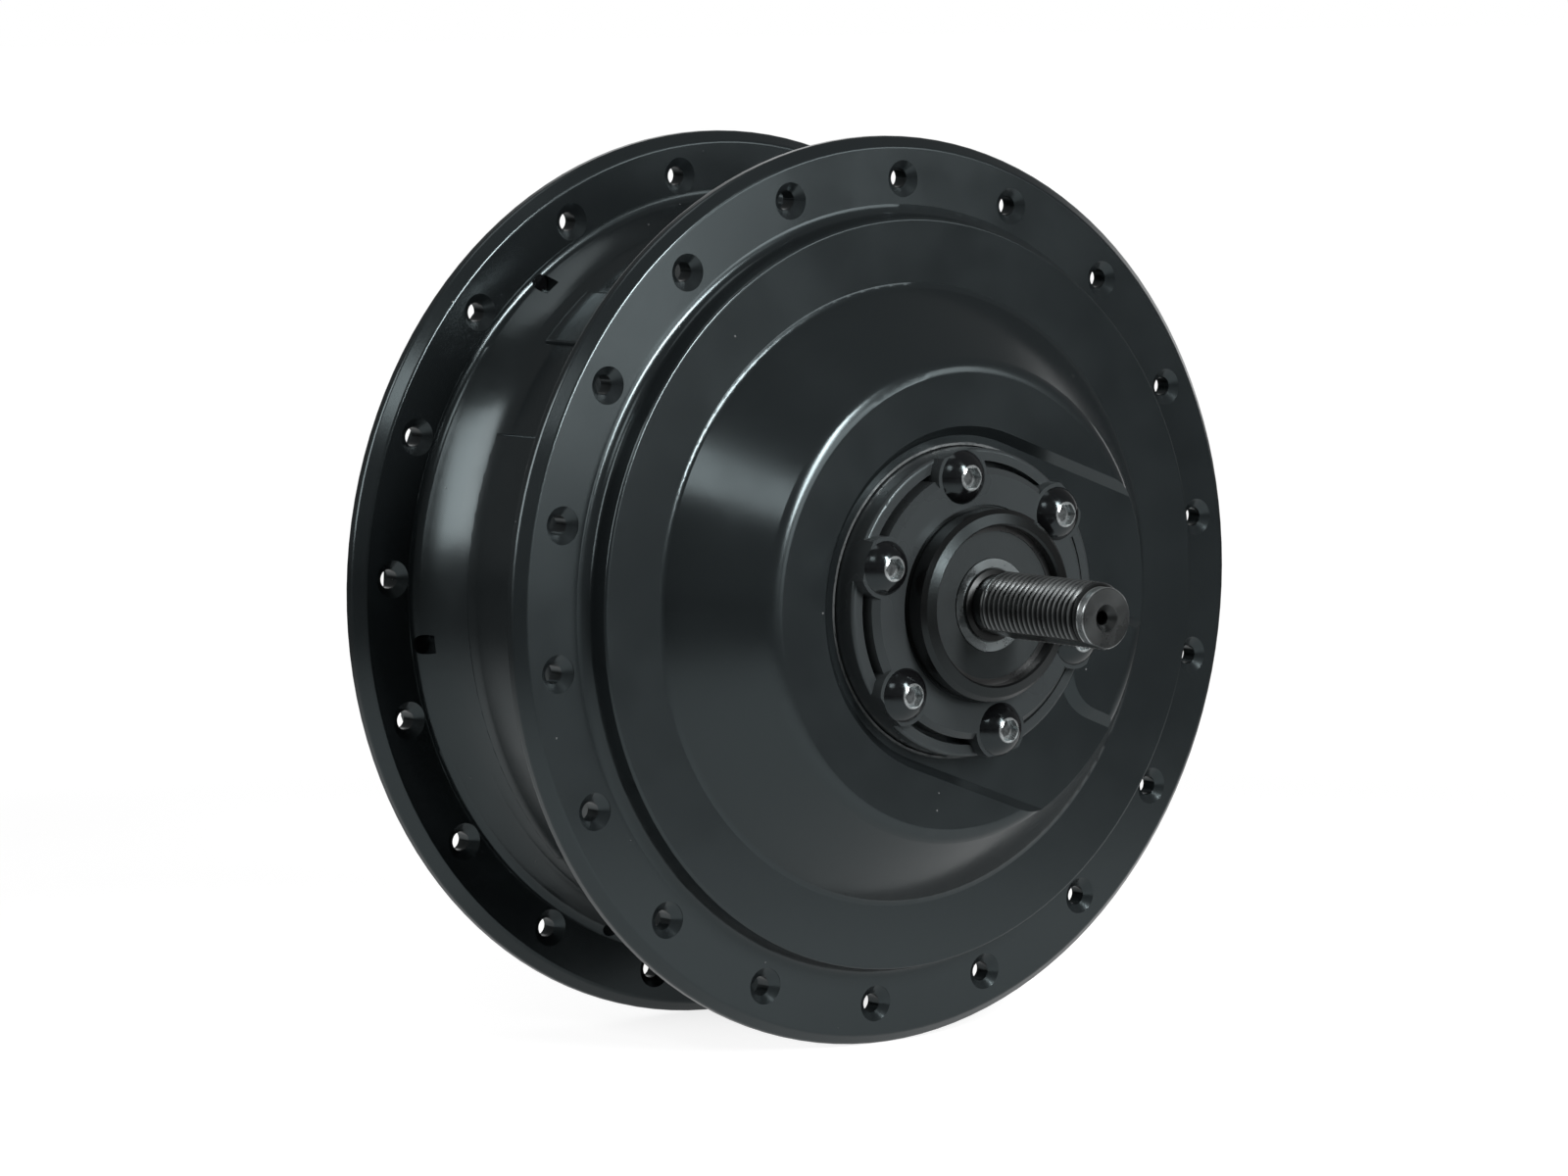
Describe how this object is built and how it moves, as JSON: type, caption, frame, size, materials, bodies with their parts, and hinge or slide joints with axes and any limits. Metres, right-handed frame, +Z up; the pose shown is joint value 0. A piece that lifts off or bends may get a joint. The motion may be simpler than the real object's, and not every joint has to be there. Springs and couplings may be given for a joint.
{
  "type": "geared front hub motor",
  "caption": "Geared hub motor for a front wheel: drum with two spoke flanges, raised gear housing, eared bearing plate and a threaded axle, with rotor, stator and planetary gears inside.",
  "frame": {"origin": "on the axle, halfway between the two spoke flanges and between the axle ends", "axes": "+Y along the axle towards the disc side, +Z up, +X towards the side that the plateau's recess opens to"},
  "size_m": [0.185, 0.1966, 0.185],
  "materials": {
    "shell_paint": "satin black paint over cast aluminium",
    "adapter_coat": "smooth black coat, glossier than the shell",
    "black_oxide": "glossy black oxide",
    "axle_steel": "blackened turned steel",
    "ring_steel": "dark oiled steel",
    "bearing_steel": "ground steel",
    "spring_steel": "phosphated spring steel",
    "seal_rubber": "dark grey nitrile rubber",
    "gear_steel": "hobbed and hardened steel, oiled",
    "carrier_steel": "turned steel",
    "nylon": "natural nylon",
    "bronze": "sintered bronze",
    "magnet": "nickel-plated magnet",
    "lamination": "stacked electrical steel",
    "copper": "enamelled copper wire",
    "cast_aluminium": "die-cast aluminium",
    "circuit_board": "green solder mask",
    "chip_black": "moulded black resin"
  },
  "bodies": {
    "axle_assembly": {"axle": "axle_steel", "axle_keys": "spring_steel", "small_circlips": "spring_steel", "large_circlip": "spring_steel", "cable_gland": "seal_rubber", "gear_side_bearing_inner_ring": "bearing_steel", "disc_side_bearing_inner_ring": "bearing_steel", "rotor_bearing_inner_rings": "bearing_steel", "clutch_hub": "gear_steel", "clutch_rollers": "bearing_steel", "planet_carrier": "carrier_steel", "planet_pins": "gear_steel", "planet_pin_washers": "spring_steel", "stator_spider": "cast_aluminium", "stator_core": "lamination", "stator_windings": "copper", "hall_board": "circuit_board", "hall_sensors": "chip_black"},
    "hub": {"hub_shell": "shell_paint", "side_cover": "shell_paint", "side_cover_screws": "black_oxide", "cover_o_ring": "seal_rubber", "shaft_seal": "seal_rubber", "bearing_adapter": "adapter_coat", "adapter_screws": "black_oxide", "gear_side_bearing_outer_ring": "ring_steel", "gear_side_bearing_seals": "seal_rubber", "disc_side_bearing_outer_ring": "bearing_steel", "disc_side_bearing_seals": "seal_rubber", "ring_gear": "gear_steel", "ring_gear_screws": "black_oxide"},
    "rotor": {"rotor_can": "carrier_steel", "rotor_magnets": "magnet", "sun_gear": "gear_steel", "rotor_bearing_outer_rings": "bearing_steel"},
    "planet_1": {"planet_gear_1": "nylon", "planet_bush_1": "bronze"},
    "planet_2": {"planet_gear_2": "nylon", "planet_bush_2": "bronze"},
    "planet_3": {"planet_gear_3": "nylon", "planet_bush_3": "bronze"},
    "gear_side_ball_set": {"gear_side_bearing_balls": "bearing_steel"},
    "disc_side_ball_set": {"disc_side_bearing_balls": "bearing_steel"},
    "rotor_ball_sets": {"rotor_bearing_balls": "bearing_steel"}
  },
  "joints": [
    {"name": "hub_spin", "type": "hinge", "parent": "axle_assembly", "child": "hub", "pos_m": [0, 0, 0], "axis": [0, 1, 0], "continuous": true},
    {"name": "rotor_spin", "type": "hinge", "parent": "axle_assembly", "child": "rotor", "pos_m": [0, 0, 0], "axis": [0, 1, 0], "continuous": true},
    {"name": "planet_1_spin", "type": "hinge", "parent": "axle_assembly", "child": "planet_1", "pos_m": [0, -0.0244, -0.036], "axis": [0, 1, 0], "continuous": true},
    {"name": "planet_2_spin", "type": "hinge", "parent": "axle_assembly", "child": "planet_2", "pos_m": [-0.03118, -0.0244, 0.018], "axis": [0, 1, 0], "continuous": true},
    {"name": "planet_3_spin", "type": "hinge", "parent": "axle_assembly", "child": "planet_3", "pos_m": [0.03118, -0.0244, 0.018], "axis": [0, 1, 0], "continuous": true},
    {"name": "gear_side_balls_roll", "type": "hinge", "parent": "axle_assembly", "child": "gear_side_ball_set", "pos_m": [0, -0.059, 0], "axis": [0, 1, 0], "continuous": true},
    {"name": "disc_side_balls_roll", "type": "hinge", "parent": "axle_assembly", "child": "disc_side_ball_set", "pos_m": [0, 0.037, 0], "axis": [0, 1, 0], "continuous": true},
    {"name": "rotor_balls_roll", "type": "hinge", "parent": "axle_assembly", "child": "rotor_ball_sets", "pos_m": [0, -0.004, 0], "axis": [0, 1, 0], "continuous": true}
  ],
  "couplings": [
    {"joint": "rotor_spin", "follows": "hub_spin", "ratio": -5},
    {"joint": "planet_1_spin", "follows": "hub_spin", "ratio": 2.5},
    {"joint": "planet_2_spin", "follows": "hub_spin", "ratio": 2.5},
    {"joint": "planet_3_spin", "follows": "hub_spin", "ratio": 2.5},
    {"joint": "gear_side_balls_roll", "follows": "hub_spin", "ratio": 0.60128},
    {"joint": "disc_side_balls_roll", "follows": "hub_spin", "ratio": 0.60242},
    {"joint": "rotor_balls_roll", "follows": "hub_spin", "ratio": -2.9605}
  ]
}
